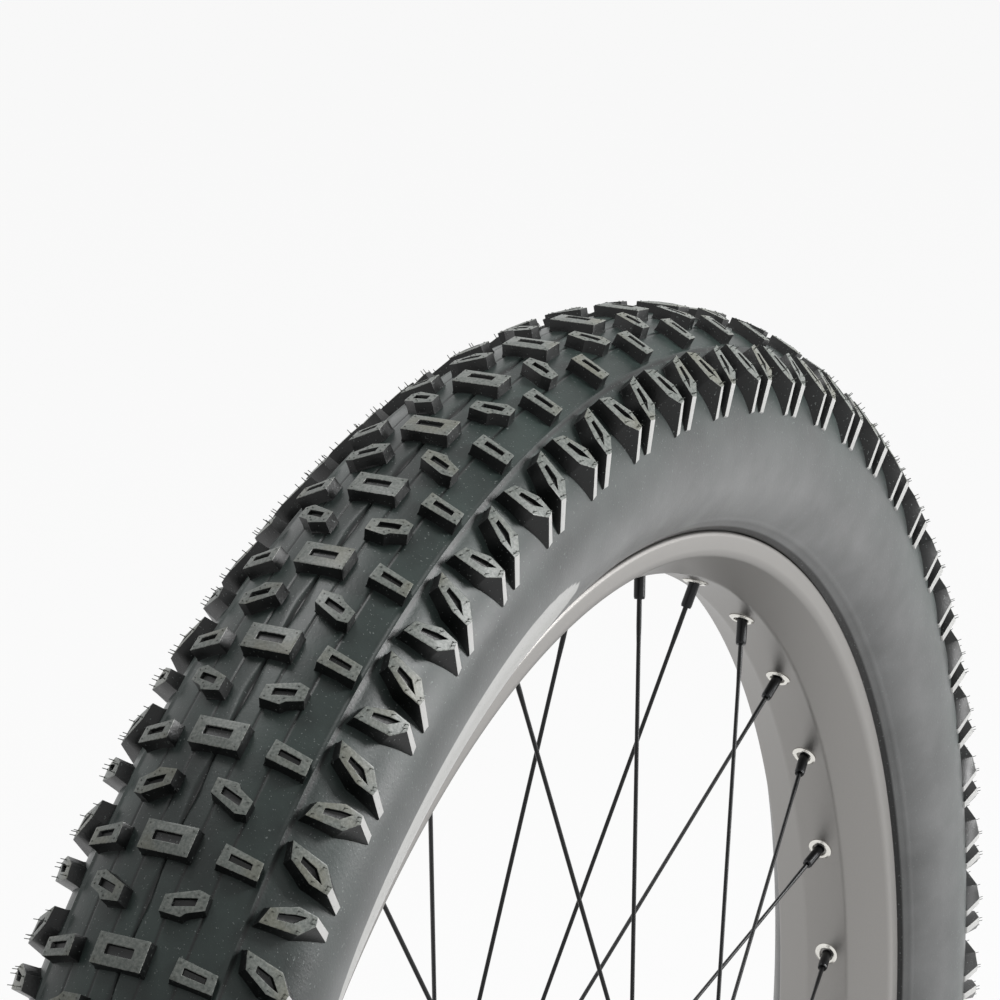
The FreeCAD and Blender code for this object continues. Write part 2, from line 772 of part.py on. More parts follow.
def make_valve():
    """The tyre valve, each piece turned about the valve's own axis and stood between two spokes."""
    pieces = [
        turned("valve_stem", [
            (valve_foot + size("valve_foot_height"), valve_bore),
            (valve_foot + size("valve_foot_height") * 0.5, size("valve_foot_radius")),
            (valve_foot, size("valve_foot_radius")),
            (valve_foot, valve_radius),
            (valve_tip + 0.5, valve_radius),
            (valve_tip, valve_radius - 0.5),
            (valve_tip, valve_bore),
        ], axis="Z"),
        turned("valve_rim_nut", [
            (bed_radius - 0.2, valve_radius + fit_gap),
            (bed_radius - 0.2, nut_radius),
            (bed_radius - size("rim_nut_height") + 0.6, nut_radius),
            (bed_radius - size("rim_nut_height"), nut_radius - 0.6),
            (bed_radius - size("rim_nut_height"), valve_radius + fit_gap),
        ], axis="Z"),
        turned("valve_core_body", [
            (core_bottom, pin_bore),
            (core_bottom, core_radius - 0.4),
            (core_bottom + 5.0, core_radius),
            (core_bottom + 9.0, core_radius),
            (core_bottom + 10.0, core_radius - 0.6),
            (core_top, core_radius - 0.6),
            (core_top, pin_bore),
        ], axis="Z"),
        turned("valve_core_gasket", [
            (core_bottom + 10.3, core_radius - 0.6 + fit_gap),
            (core_bottom + 10.3, core_radius),
            (core_bottom + 12.3, core_radius),
            (core_bottom + 12.3, core_radius - 0.6 + fit_gap),
        ], axis="Z"),
        turned("valve_core_pin", [
            (valve_tip + 0.3, 0),
            (valve_tip + 0.3, pin_radius),
            (core_top + 0.1, pin_radius),
            (core_top + 0.1, core_radius - 0.8),
            (core_top + 1.5, core_radius - 0.8),
            (core_top + 1.5, 0),
        ], axis="Z"),
        turned("valve_cap", [
            (cap_inner_end, 0),
            (cap_inner_end, cap_bore - 0.4),
            (cap_inner_end + 0.8, cap_bore),
            (cap_top, cap_bore),
            (cap_top, cap_outside),
            (cap_inner_end, cap_outside),
            (cap_inner_end - 1.2, cap_outside - 0.8),
            (cap_inner_end - 1.2, 0),
        ], axis="Z"),
    ]
    for piece in pieces:
        turn_about_axle(piece, stood_valve)
    return pieces


# ---------------------------------------------------------------- hub, bearings, axle and end caps

half_width = size("over_locknut") / 2
bearing_width = size("bearing_width")
bearing_outside = size("bearing_outside")
bearing_bore = size("bearing_bore")
rotor_face = half_width - size("rotor_face_inset")
rotor_end = rotor_face + size("rotor_spigot_height")
mouth_depth = 1.4
rotor_bearing = rotor_end - mouth_depth - bearing_width / 2
plain_bearing = -flange_offset - flange_thickness / 2 - 2.8
plain_end = plain_bearing - bearing_width / 2 - mouth_depth
bearing_pocket = bearing_outside + press_gap
shoulder = bearing_outside - size("bearing_shoulder")
barrel_radius = bearing_outside + size("hub_barrel_step")
edge_radius = flange_circle + size("flange_edge")
housing_radius = bearing_outside + size("hub_wall")
spigot_radius = bearing_pocket + size("rotor_spigot_wall")
bolt_circle = size("rotor_bolt_circle")
boss_radius = bolt_circle + size("rotor_bolt_radius") + size("rotor_boss_edge")
boss_start = rotor_face - size("rotor_boss_depth")
half_flange = flange_thickness / 2


def make_hub_shell():
    """The turned shell: two drilled flanges, a bearing seat in each end and the rotor mount."""
    plain_seat = plain_bearing + bearing_width / 2
    rotor_seat = rotor_bearing - bearing_width / 2
    shell = turned("hub_shell", [
        (plain_end, bearing_pocket),
        (plain_end, housing_radius),
        (-flange_offset - half_flange, housing_radius),
        (-flange_offset - half_flange, edge_radius),
        (-flange_offset + half_flange, edge_radius),
        (-flange_offset + half_flange, housing_radius + 1.6),
        (-flange_offset + half_flange + 11, barrel_radius),
        (flange_offset - half_flange - 11, barrel_radius),
        (flange_offset - half_flange, housing_radius + 1.6),
        (flange_offset - half_flange, edge_radius),
        (flange_offset + half_flange, edge_radius),
        (flange_offset + half_flange, housing_radius + 2.0),
        (boss_start - 2, housing_radius + 2.0),
        (boss_start, boss_radius),
        (rotor_face, boss_radius),
        (rotor_face, spigot_radius),
        (rotor_end, spigot_radius),
        (rotor_end, bearing_pocket),
        (rotor_seat, bearing_pocket),
        (rotor_seat, shoulder),
        (plain_seat, shoulder),
        (plain_seat, bearing_pocket),
    ])
    hole_radius = spoke_radius + size("spoke_hole_gap")
    depth = flange_thickness + 2
    plain = drill(shell, "plain_flange_hole", "XZ_Plane", hole_radius, depth=depth,
                  start=flange_offset - half_flange - 1, from_axis=flange_circle)
    repeat(shell, plain, spoke_count / 2, "plain_flange_holes")
    rotor = drill(shell, "rotor_flange_hole", "XZ_Plane", hole_radius, depth=depth,
                  start=-flange_offset - half_flange - 1, from_axis=flange_circle,
                  turn=-360 / spoke_count)
    repeat(shell, rotor, spoke_count / 2, "rotor_flange_holes")
    bolt = drill(shell, "rotor_bolt_hole", "XZ_Plane", size("rotor_bolt_radius"),
                 depth=size("rotor_bolt_depth") + 1, start=-rotor_face - 1,
                 from_axis=bolt_circle)
    repeat(shell, bolt, size("rotor_bolt_count"), "rotor_bolt_holes")
    turn_about_axle(shell, spoke_phase)
    return shell


ball_radius = size("ball_radius")
groove_radius = ball_radius + size("groove_gap")
pitch_radius = (bearing_bore + bearing_outside) / 2
race_shoulder = size("race_shoulder")
inner_shoulder = pitch_radius - race_shoulder
outer_shoulder = pitch_radius + race_shoulder
groove_shift = groove_radius - ball_radius - 0.03
groove_half = root(groove_radius * groove_radius - (race_shoulder + groove_shift) * (race_shoulder + groove_shift))
half_bearing = bearing_width / 2
seal_lip = inner_shoulder - 0.15
seal_edge = outer_shoulder + 0.8


def make_bearing(side, centre):
    """A sealed ball bearing: two grooved rings, balls in a cage, and a lip seal on each face."""
    lip_land = seal_lip - size("seal_gap")
    seal_inside = half_bearing - size("seal_thickness") - 0.2
    pieces = [
        turned(f"bearing_inner_ring_{side}", [
            (-half_bearing, bearing_bore),
            (-half_bearing, lip_land),
            (0.1 - seal_inside, lip_land),
            (0.1 - seal_inside, inner_shoulder),
            (-groove_half, inner_shoulder, -groove_radius),
            (groove_half, inner_shoulder),
            (seal_inside - 0.1, inner_shoulder),
            (seal_inside - 0.1, lip_land),
            (half_bearing, lip_land),
            (half_bearing, bearing_bore),
        ]),
        turned(f"bearing_outer_ring_{side}", [
            (-half_bearing, bearing_outside),
            (-half_bearing, seal_edge),
            (-seal_inside, seal_edge),
            (-seal_inside, outer_shoulder),
            (-groove_half, outer_shoulder, groove_radius),
            (groove_half, outer_shoulder),
            (seal_inside, outer_shoulder),
            (seal_inside, seal_edge),
            (half_bearing, seal_edge),
            (half_bearing, bearing_outside),
        ]),
    ]
    for face, way in (("outside", 1), ("inside", -1)):
        start = (seal_inside + fit_gap) * way
        end = start + size("seal_thickness") * way
        pieces.append(turned(f"bearing_seal_{face}_{side}", [
            (start, seal_lip), (end, seal_lip), (end, seal_edge - fit_gap), (start, seal_edge - fit_gap),
        ]))
    count = int(size("ball_count").value)
    ball = Part.makeSphere(ball_radius.value, Vector(0, 0, pitch_radius.value))
    pieces.append(feature(f"bearing_balls_{side}", Part.makeCompound(round_the_wheel(ball, count, 0))))
    pieces.append(feature(f"bearing_cage_{side}", make_cage(count)))
    for piece in pieces:
        bind(piece, Placement__Base__y=centre)
    return pieces


def make_cage(count):
    """A moulded ring between the two rings, with a round pocket for each ball."""
    clear = race_shoulder.value - 0.4
    half = ball_radius.value + 0.5
    middle = pitch_radius.value
    start, way = Vector(0, -half, 0), Vector(0, 1, 0)
    ring = Part.makeCylinder(middle + clear, 2 * half, start, way)
    ring = ring.cut(Part.makeCylinder(middle - clear, 2 * half, start, way))
    pocket = Part.makeSphere(ball_radius.value + 0.1, Vector(0, 0, middle))
    return ring.cut(round_the_wheel(pocket, count, 0))


axle_bore = size("axle_bore")
axle_seat = bearing_bore - press_gap


def make_axle():
    """The hollow axle, with a shoulder inside each bearing."""
    thick = bearing_bore + size("axle_shoulder")
    plain_inner = plain_bearing + bearing_width / 2
    rotor_inner = rotor_bearing - bearing_width / 2
    return turned("axle", [
        (-half_width, axle_bore),
        (-half_width, axle_seat),
        (plain_inner, axle_seat),
        (plain_inner, thick),
        (rotor_inner, thick),
        (rotor_inner, axle_seat),
        (half_width, axle_seat),
        (half_width, axle_bore),
    ])


def make_end_cap(side, bearing, way):
    """A push-on cap that clamps the inner ring, covers the hub's mouth and seats in the fork."""
    face = bearing + way * half_bearing
    end = way * half_width
    bore = bearing_bore + press_gap
    skirt = bearing_pocket - size("turning_gap")
    skirt_start = face + way * 0.8
    skirt_end = skirt_start + way * size("cap_skirt_length")
    neck = end - way * size("cap_end_length")
    ring_centre = end - way * 10
    groove = size("o_ring_radius") + fit_gap
    cap_end = bore + size("cap_end_wall")
    cap = turned(f"end_cap_{side}", [
        (face, bore),
        (face, seal_lip - size("seal_gap")),
        (skirt_start, seal_lip - size("seal_gap")),
        (skirt_start, skirt),
        (skirt_end, skirt),
        (neck, cap_end + 2),
        (neck, cap_end),
        (end, cap_end),
        (end, bore),
        (ring_centre + way * groove, bore),
        (ring_centre + way * groove, bore + 2 * groove),
        (ring_centre - way * groove, bore + 2 * groove),
        (ring_centre - way * groove, bore),
    ])
    ring = doc.addObject("Part::Torus", f"end_cap_o_ring_{side}")
    ring.Label = f"end_cap_o_ring_{side}"
    bind(ring, Radius1=bore + groove, Radius2=size("o_ring_radius"))
    ring.Placement = Placement(Vector(), Rotation(Vector(1, 0, 0), 90))
    bind(ring, Placement__Base__y=ring_centre)
    return [cap, ring]


# ---------------------------------------------------------------- the whole wheel

pieces = [
    make_tyre(),
    make_inner_tube(),
    make_rim_tape(),
    make_rim(),
    make_eyelets(),
    make_nipples(),
    make_spoke_group("spokes_plain_trailing", 0),
    make_spoke_group("spokes_rotor_leading", 1),
    make_spoke_group("spokes_plain_leading", 2),
    make_spoke_group("spokes_rotor_trailing", 3),
    *make_valve(),
    make_hub_shell(),
    *make_bearing("plain_side", plain_bearing),
    *make_bearing("rotor_side", rotor_bearing),
    make_axle(),
    *make_end_cap("plain_side", plain_bearing, -1),
    *make_end_cap("rotor_side", rotor_bearing, 1),
]

doc.recompute()
failed = [thing.Label for thing in doc.Objects if {"Invalid", "Error"} & set(thing.State)]
if failed:
    raise RuntimeError(f"these objects failed: {failed}")
for piece in pieces:
    if piece.Shape.isNull() or not piece.Shape.isValid() or not piece.Shape.Solids:
        raise RuntimeError(f"{piece.Label} has no valid solid")

os.makedirs("parts", exist_ok=True)
for piece in pieces:
    piece.Shape.exportStep(f"parts/{piece.Label}.step")
    print(f"{piece.Label}: {len(piece.Shape.Solids)} solids, {piece.Shape.Volume / 1000:.2f} cm3")
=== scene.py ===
import math

import bmesh
import bpy
import numpy as np
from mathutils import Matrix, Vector


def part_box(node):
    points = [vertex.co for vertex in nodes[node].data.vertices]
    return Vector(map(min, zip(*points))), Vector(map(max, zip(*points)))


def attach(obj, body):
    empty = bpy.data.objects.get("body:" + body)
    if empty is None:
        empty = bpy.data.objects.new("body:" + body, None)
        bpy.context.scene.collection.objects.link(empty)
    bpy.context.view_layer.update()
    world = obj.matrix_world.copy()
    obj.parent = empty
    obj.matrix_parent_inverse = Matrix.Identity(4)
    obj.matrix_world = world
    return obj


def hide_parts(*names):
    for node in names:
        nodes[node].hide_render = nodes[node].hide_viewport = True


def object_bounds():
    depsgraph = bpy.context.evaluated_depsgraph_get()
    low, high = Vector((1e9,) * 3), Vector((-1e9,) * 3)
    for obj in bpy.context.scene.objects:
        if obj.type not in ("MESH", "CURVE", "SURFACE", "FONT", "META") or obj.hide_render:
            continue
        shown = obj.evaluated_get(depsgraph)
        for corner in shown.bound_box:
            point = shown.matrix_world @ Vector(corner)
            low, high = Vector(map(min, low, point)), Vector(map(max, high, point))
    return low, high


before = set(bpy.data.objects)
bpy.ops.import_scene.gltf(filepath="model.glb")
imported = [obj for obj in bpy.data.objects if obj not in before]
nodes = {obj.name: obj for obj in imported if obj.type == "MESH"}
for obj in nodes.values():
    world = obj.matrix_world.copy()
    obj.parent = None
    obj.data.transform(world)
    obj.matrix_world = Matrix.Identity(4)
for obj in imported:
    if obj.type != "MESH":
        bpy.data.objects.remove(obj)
first_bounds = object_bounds()

# %% [markdown]
# ## The view
# A long lens stands in front of the wheel on its plain side, a little above it, so the tread runs
# towards the viewer and the rim opens behind it.
# %% Camera
BACK = Vector((-0.8472, -0.4291, 0.3132)).normalized()
camera_data = bpy.data.cameras.new("view")
camera_data.lens = 125.92
camera_data.sensor_width = 36
camera_data.clip_start, camera_data.clip_end = 0.05, 100
camera = bpy.data.objects.new("view", camera_data)
camera.location = (-0.9671, -0.4736, 0.6602)
camera.rotation_mode = "QUATERNION"
camera.rotation_quaternion = (-BACK).to_track_quat("-Z", "Y")
bpy.context.scene.collection.objects.link(camera)
bpy.context.scene.camera = camera
print("camera at", tuple(round(part, 3) for part in camera.location))

# %% [markdown]
# ## Sizes
# Everything moulded or rolled below starts from the CAD boxes of the tyre and the rim, in
# millimetres, so it stays the size of the solids that it stands for. The two bends are the radii of
# the arcs that the tread's tops and the casing's crown lie on.
# %% Sizes
MM = 0.001
tyre_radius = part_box("tyre")[1].z / MM
flange_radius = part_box("rim")[1].z / MM
rim_half_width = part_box("rim")[1].y / MM
TREAD_HEIGHT = 4.0
TREAD_BEND = 50.0
CROWN_BEND = 45.0
CASING_WALL = 3.6
RIDGE_HALF_WIDTH = 26.0
PITCHES = 66
TREAD_PHASE = math.radians(-39.87)
crown_radius = tyre_radius - TREAD_HEIGHT
tread_centre = tyre_radius - TREAD_BEND
crown_centre = crown_radius - CROWN_BEND
pitch_length = math.tau * tyre_radius / PITCHES
print(f"tyre radius {tyre_radius:.1f} mm, rim flange radius {flange_radius:.1f} mm")

# %% [markdown]
# ## Arcs
# The tyre's outside is one profile swept round the axle: an arc across the crown and a slightly
# tighter one down each sidewall, which meet at a ridge.
# %% Arcs of the casing
SIDE_BULGE = 15.3


def arc_through(start, end, bulge):
    """Centre and radius of the arc that swells out of the line between two points."""
    start, end = np.array(start), np.array(end)
    chord = np.linalg.norm(end - start)
    radius = (chord**2 / 4 + bulge**2) / (2 * bulge)
    across = np.array([(end - start)[1], -(end - start)[0]]) / chord
    across *= math.copysign(1, across[0])
    return (start + end) / 2 - across * (radius - bulge), radius


def arc_points(centre, radius, start, end, step):
    """Points along an arc, about one step apart."""
    first, last = (math.atan2(*(np.array(point) - centre)) for point in (start, end))
    count = max(2, int(abs(last - first) * radius / step))
    turns = np.linspace(first, last, count + 1)
    return [centre + radius * np.array([math.sin(turn), math.cos(turn)]) for turn in turns]


ridge = (RIDGE_HALF_WIDTH, crown_centre + math.sqrt(CROWN_BEND**2 - RIDGE_HALF_WIDTH**2))
side_foot = (rim_half_width - 1.0, flange_radius + 0.35)
side_centre, side_radius = arc_through(ridge, side_foot, SIDE_BULGE)
print(f"sidewall arc radius {side_radius:.1f} mm")

# %% [markdown]
# ## The tyre's section
# Fine mould lines run round the tread, and the profile dips a little at each. It swells at the ridge
# and at a bead line above the rim, then hooks under the rim's flange and runs back along the inside.
# %% Casing section
MOULD_LINES = (6.8, 16.3)
BEAD_LINE_RISE = 4.5
INNER_BULGE = 14.9
OUTSIDE_STEP, SIDE_STEP, INSIDE_STEP = 0.35, 0.9, 6


def bump(distance, width):
    return np.exp(-((distance / width) ** 2))


def shaped(point, centre):
    """Move a point of the profile along its arc's radius for the lines that pass there."""
    lift = -0.25 * sum(bump(point[0] - at, 0.3) for at in MOULD_LINES)
    lift += 0.5 * bump(point[0] - RIDGE_HALF_WIDTH, 0.7) * (point[1] > side_centre[1])
    if point[1] < side_centre[1]:
        lift += 0.2 * bump(point[1] - flange_radius - BEAD_LINE_RISE, 0.5)
    return point + (point - centre) / np.linalg.norm(point - centre) * lift


crown_middle = np.array([0.0, crown_centre])
crown = arc_points(crown_middle, CROWN_BEND, (0, crown_radius), ridge, OUTSIDE_STEP)
side = arc_points(side_centre, side_radius, ridge, side_foot, SIDE_STEP)[1:]
half = [shaped(point, crown_middle) for point in crown]
half += [shaped(point, side_centre) for point in side]
hook = rim_half_width - 3.5
half += [np.array(point) for point in (
    (hook, flange_radius + 0.3), (hook, flange_radius - 5.5), (hook - 4.6, flange_radius - 5.6),
    (hook - 4.6, flange_radius - 3.4), (hook - 0.2, flange_radius + 2.1))]
inner_ridge = (RIDGE_HALF_WIDTH - 1.0, ridge[1] - 3.3)
inner_centre, inner_radius = arc_through(half[-1], inner_ridge, INNER_BULGE)
half += arc_points(inner_centre, inner_radius, half[-1], inner_ridge, INSIDE_STEP)[1:]
half += arc_points(crown_middle, CROWN_BEND - CASING_WALL, inner_ridge,
                   (0, crown_radius - CASING_WALL), INSIDE_STEP)[1:]
half[-1][0] = 0.0
section = np.array(half + [point * (-1, 1) for point in half[-2:0:-1]])
print("casing section:", len(section), "points")

# %% [markdown]
# ## Swept rings
# The casing and the rim are both rings. One function sweeps a closed section round the axle and
# makes quads between its copies, and another turns points and faces into a piece.
# %% Ring maker
STEPS_PER_PITCH = 9


def ring_mesh(outline, steps):
    """Sweep a closed outline of (across, radius) points in mm round the wheel's axis."""
    turns = np.arange(steps) * math.tau / steps
    across = np.repeat(outline[None, :, 0], steps, 0)
    radius = np.repeat(outline[None, :, 1], steps, 0)
    points = np.stack([radius * np.sin(turns)[:, None], across, radius * np.cos(turns)[:, None]], -1)
    count = len(outline)
    ring, spot = np.meshgrid(np.arange(steps), np.arange(count), indexing="ij")
    ahead, beside = (ring + 1) % steps, (spot + 1) % count
    quads = np.stack([ring * count + spot, ahead * count + spot, ahead * count + beside,
                      ring * count + beside], -1)
    return points.reshape(-1, 3) * MM, quads.reshape(-1, 4)


def new_piece(name, points, faces):
    """A piece of its own, with its faces turned outwards."""
    mesh = bpy.data.meshes.new(name)
    mesh.from_pydata(points.tolist(), [], faces)
    mesh.validate()
    piece = bpy.data.objects.new(name, mesh)
    bpy.context.scene.collection.objects.link(piece)
    fixer = bmesh.new()
    fixer.from_mesh(mesh)
    bmesh.ops.recalc_face_normals(fixer, faces=fixer.faces)
    fixer.to_mesh(mesh)
    fixer.free()
    return piece


casing_points, casing_faces = ring_mesh(section, PITCHES * STEPS_PER_PITCH)
print("casing mesh:", len(casing_points), "points")

# %% [markdown]
# ## Tread blocks
# The blocks are drawn flat, as distances in millimetres across and round the tyre: one on the centre
# line, a small one beside it, one towards the edge and a long one on the shoulder, whose foot
# reaches down the sidewall. Each has a pocket in its top.
# %% Block outlines
CENTRE = [(-8.0, -4.4), (8.0, -4.4), (8.0, 4.7), (-8.0, 4.7)]
CENTRE_POCKET = [(-4.4, -1.4), (4.3, -1.4), (4.3, 1.6), (-4.4, 1.6)]
INNER = [(6.5, -1.3), (15.2, -5.2), (18.3, -4.6), (18.6, -0.1), (14.0, 2.2), (12.8, 3.7), (6.5, 3.6)]
INNER_POCKET = [(9.3, -0.9), (15.6, -2.8), (15.6, -0.4), (9.3, 1.6)]
OUTER = [(16.2, -3.5), (28.5, -4.0), (28.3, 1.7), (16.7, 3.0)]
OUTER_POCKET = [(19.0, -1.5), (25.7, -1.9), (25.7, 0.1), (19.0, 0.7)]
SHOULDER = [(34.5, 6.3), (42.0, 2.3), (48.0, 2.2), (48.5, 5.0), (44.5, 10.0), (33.0, 11.6)]
SHOULDER_FOOT = [(33.9, 5.8), (41.8, 1.8), (57.9, 1.6), (58.3, 4.6), (45.0, 10.5), (32.5, 12.1)]
SHOULDER_POCKET = [(37.2, 6.7), (42.0, 4.8), (45.4, 3.9), (42.2, 7.5), (37.2, 8.7)]
SHOULDER_LINE = -1.4


def flipped(outline, line=0.0):
    """The outline turned over about a line that runs across the tyre."""
    return None if outline is None else [(across, 2 * line - along) for across, along in outline[::-1]]


def mirror(outline):
    """The outline on the other side of the centre line."""
    return None if outline is None else [(-across, along) for across, along in outline[::-1]]


def moved(outline, along):
    return None if outline is None else [(across, spot + along) for across, spot in outline]


print("block kinds: centre, inner, outer, shoulder")

# %% [markdown]
# ## Helpers for outlines
# A block's rings all have the same number of points, so its faces are quads. The points lie where
# rays from the pocket's middle cross each outline.
# %% Outline helpers
def grown(outline, by):
    """The outline with every edge moved out."""
    points = np.array(outline, float)
    after = np.roll(points, -1, 0) - points
    after /= np.linalg.norm(after, axis=1)[:, None]
    before = np.roll(after, 1, 0)
    normals = np.stack([after[:, 1], -after[:, 0]], -1)
    last = np.stack([before[:, 1], -before[:, 0]], -1)
    both = normals + last
    return points + both / np.maximum(1 + (normals * last).sum(1), 0.4)[:, None] * by


def hits(outline, centre, turns):
    """For each direction from the centre, the edge that it meets and how far along that edge."""
    points = np.array(outline, float) - centre
    found = []
    for turn in turns:
        way = np.array([math.cos(turn), math.sin(turn)])
        best = None
        for number, start in enumerate(points):
            edge = points[(number + 1) % len(points)] - start
            cross = way[0] * edge[1] - way[1] * edge[0]
            if abs(cross) < 1e-9:
                continue
            share = (way[1] * start[0] - way[0] * start[1]) / cross
            reach = (start + share * edge) @ way
            if -1e-6 <= share <= 1 + 1e-6 and reach > 0 and (best is None or reach > best[2]):
                best = (number, min(max(share, 0), 1), reach)
        found.append(best[:2])
    return found


def along_edges(outline, places):
    points = np.array(outline, float)
    return np.array([points[number] * (1 - share) + points[(number + 1) % len(points)] * share
                     for number, share in places])


def casing_depth(across):
    """How far the casing lies under the tread's arc, at a distance across it."""
    lean = np.abs(across) / TREAD_BEND
    way = np.stack([np.sin(lean), np.cos(lean)], -1)
    depths = []
    for centre, radius in ((crown_middle, CROWN_BEND), (side_centre, side_radius)):
        offset = centre - np.array([0.0, tread_centre])
        reach = way @ offset
        depths.append(reach + np.sqrt(reach**2 - offset @ offset + radius**2))
    over_crown, over_side = depths
    return TREAD_BEND - np.where(over_crown * way[..., 0] < RIDGE_HALF_WIDTH, over_crown, over_side)


print(f"casing lies {float(casing_depth(np.array(0.0))):.1f} mm under the tread's middle")

# %% [markdown]
# ## Rings of one block
# A block stands on the casing with drafted walls and a small fillet at its foot. Its rings go from
# the fillet up the walls, in across the top and down into the pocket.
# %% Block rings
DRAFT = 0.3
TOP_INSET = -0.55
FOOT_RINGS = ((0.35, -0.7), (0.2, 0.1), (0.0, 0.7))
POCKET_RINGS = ((0.3, 0.0), (0.0, 0.0), (-0.2, -1.2))


def block_rings(outline, pocket, foot):
    """The rings of a block drawn flat: x across the tyre, y round it, z up from the tread's arc."""
    centre = np.mean(pocket, 0)
    corners = np.array(list(outline) + list(pocket)) - centre
    turns = np.unique(np.round(np.arctan2(corners[:, 1], corners[:, 0]), 4))
    wall_places, pocket_places = hits(outline, centre, turns), hits(pocket, centre, turns)
    base = np.array(foot if foot else grown(outline, DRAFT), float)
    rings = []
    for by, lift in FOOT_RINGS:
        flat = along_edges(grown(base, by), wall_places)
        rings.append(np.column_stack([flat, lift - casing_depth(flat[:, 0])]))
    for by in (0.0, TOP_INSET):
        flat = along_edges(grown(outline, by), wall_places)
        rings.append(np.column_stack([flat, np.zeros(len(flat))]))
    for by, lift in POCKET_RINGS:
        flat = along_edges(grown(pocket, by), pocket_places)
        rings.append(np.column_stack([flat, np.full(len(flat), lift)]))
    return rings


print("rings in a block:", len(block_rings(CENTRE, CENTRE_POCKET, None)))

# %% [markdown]
# ## Pips and hairs
# Rubber flows into the mould's vent holes. It leaves a pip at each corner of a block's top, and a
# hair as well on the shoulder.
# %% Vents
PIP = (0.3, 0.2)
HAIR = (0.15, 1.6)
VENT_INSET = -1.15
HAIRS_BEYOND = 30


def vent_stub(corner, radius, height, sides=6):
    """A pip or a hair: a tapered stub that leans over where it is long."""
    turns = np.arange(sides) * math.tau / sides
    circle = np.column_stack([np.cos(turns), np.sin(turns)]) * radius
    lean = np.array([0.3, -0.5]) * max(height - 0.5, 0)
    low = np.column_stack([circle + corner, np.full(sides, -0.1)])
    high = np.column_stack([circle * 0.8 + corner + lean, np.full(sides, height)])
    walls = [[n, (n + 1) % sides, sides + (n + 1) % sides, sides + n] for n in range(sides)]
    return np.vstack([low, high]), walls + [list(range(sides, 2 * sides))]


def vent_stubs(outline):
    """All the stubs of one block."""
    for corner in grown(outline, VENT_INSET):
        for radius, height in (PIP, HAIR) if abs(corner[0]) > HAIRS_BEYOND else (PIP,):
            yield vent_stub(corner, radius, height)


print("stubs on a shoulder block:", len(list(vent_stubs(SHOULDER))))

# %% [markdown]
# ## Block maker
# The rings become a mesh whose sharp edges are bevelled, apart from those at the foot. Each face is
# marked as part of the worn top, of the top's rounded edge or of a shoulder block's outer wall. The
# rubber paints the edge paler, partly as wear and partly as a painted highlight, and the outer wall
# pale, as a painted highlight.
# %% Block maker
SHARP = math.radians(28)
STUB_MARKS = (0.7, 0.0, 0.0)


def face_marks(face):
    """How far a face counts as worn top, rounded edge and shoulder block's outer wall; the rubber paints
    the edge paler as wear and a painted highlight, and the outer wall pale as a painted highlight.
    """
    height = sum(vertex.co.z for vertex in face.verts) / len(face.verts)
    reach = max(abs(vertex.co.x) for vertex in face.verts)
    steep = abs(face.normal.x) > max(0.3, 1.3 * abs(face.normal.y)) and face.normal.z < 0.85
    return (float(face.normal.z > 0.93 and height > -0.5),
            float(0.2 < face.normal.z <= 0.93 and height > -0.25),
            float(steep and reach > 45))


def above_foot(edge):
    return min(vertex.co.z + casing_depth(np.array(vertex.co.x)) for vertex in edge.verts) > 0.4


def block_mesh(outline, pocket, foot=None):
    """Points, faces and face marks of a block drawn flat, in mm."""
    block = bmesh.new()
    rings = [[block.verts.new(point) for point in ring] for ring in block_rings(outline, pocket, foot)]
    count = len(rings[0])
    for low, high in zip(rings, rings[1:]):
        for number in range(count):
            after = (number + 1) % count
            block.faces.new([low[number], low[after], high[after], high[number]])
    block.faces.new(rings[-1])
    bmesh.ops.recalc_face_normals(block, faces=block.faces)
    sharp = [edge for edge in block.edges if len(edge.link_faces) == 2
             and edge.calc_face_angle() > SHARP and above_foot(edge)]
    bmesh.ops.bevel(block, geom=sharp, offset=0.18, segments=2, affect="EDGES", profile=0.6,
                    clamp_overlap=True)
    points = np.array([vertex.co for vertex in block.verts])
    block.verts.index_update()
    faces = [[vertex.index for vertex in face.verts] for face in block.faces]
    marks = [face_marks(face) for face in block.faces]
    block.free()
    for stub, stub_faces in vent_stubs(outline):
        faces += [[index + len(points) for index in face] for face in stub_faces]
        marks += [STUB_MARKS] * len(stub_faces)
        points = np.vstack([points, stub])
    return points, faces, np.array(marks)


def on_tyre(points, along=0.0):
    """Bend flat points onto the tread's arc; the plain side is the positive way across."""
    lean = points[:, 0] / TREAD_BEND
    reach = TREAD_BEND + points[:, 2]
    radius = tread_centre + reach * np.cos(lean)
    turn = TREAD_PHASE + (points[:, 1] + along) / tyre_radius
    return np.stack([radius * np.sin(turn), -reach * np.sin(lean), radius * np.cos(turn)], -1) * MM


print("faces in a centre block:", len(block_mesh(CENTRE, CENTRE_POCKET)[1]))

# %% [markdown]
# ## Two pitches of blocks
# The tread repeats after two pitches. The centre, outer and shoulder blocks stand in both, and the
# inner blocks turn over from one pitch to the next.
# %% Two pitches of blocks
sector = []
for pitch in (0, 1):
    start = pitch * pitch_length
    sector.append((moved(CENTRE, start), moved(CENTRE_POCKET, start), None))
    for outline, pocket, foot in (
        (OUTER, OUTER_POCKET, None),
        (SHOULDER, SHOULDER_POCKET, SHOULDER_FOOT),
        tuple(flipped(shape, SHOULDER_LINE) for shape in (SHOULDER, SHOULDER_POCKET, SHOULDER_FOOT)),
    ):
        shapes = tuple(moved(shape, start) for shape in (outline, pocket, foot))
        sector += [shapes, tuple(mirror(shape) for shape in shapes)]
for start, drawn in ((0.5, (INNER, INNER_POCKET)), (1.5, (flipped(INNER), flipped(INNER_POCKET)))):
    shapes = (*(moved(shape, start * pitch_length) for shape in drawn), None)
    sector += [shapes, tuple(mirror(shape) for shape in shapes)]

